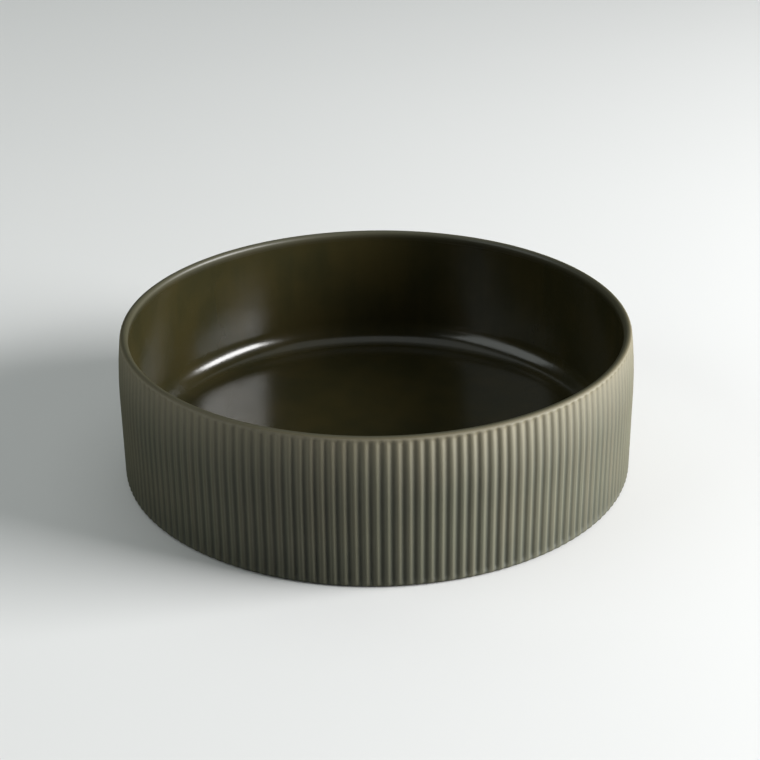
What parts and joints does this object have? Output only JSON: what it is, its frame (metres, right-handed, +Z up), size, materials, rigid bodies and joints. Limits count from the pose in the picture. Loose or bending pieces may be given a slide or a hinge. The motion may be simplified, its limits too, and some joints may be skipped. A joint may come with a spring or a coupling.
{
  "type": "bowl",
  "caption": "Low round porcelain bowl with a straight, finely fluted outer wall, a smooth rounded lip, a flat floor and a bare foot ring under a shallow recess.",
  "frame": {"origin": "On the plane of the foot ring, under the centre of the bowl", "axes": "+Z up along the bowl's axis of revolution; +X and +Y are two level directions square to it; a flute's rib lies on +X"},
  "size_m": [0.24, 0.24, 0.0696],
  "materials": {
    "bare_clay": "fired biscuit, matt, smooth on the foot ring",
    "inner_glaze": "glossy dark olive glaze",
    "outer_glaze": "satin grey-olive glaze, thinner and lighter on the ribs",
    "base_glaze": "glossy olive glaze"
  },
  "bodies": {
    "root": {"porcelain_body": "bare_clay", "inner_glaze": "inner_glaze", "outer_glaze": "outer_glaze", "base_glaze": "base_glaze"}
  },
  "joints": []
}
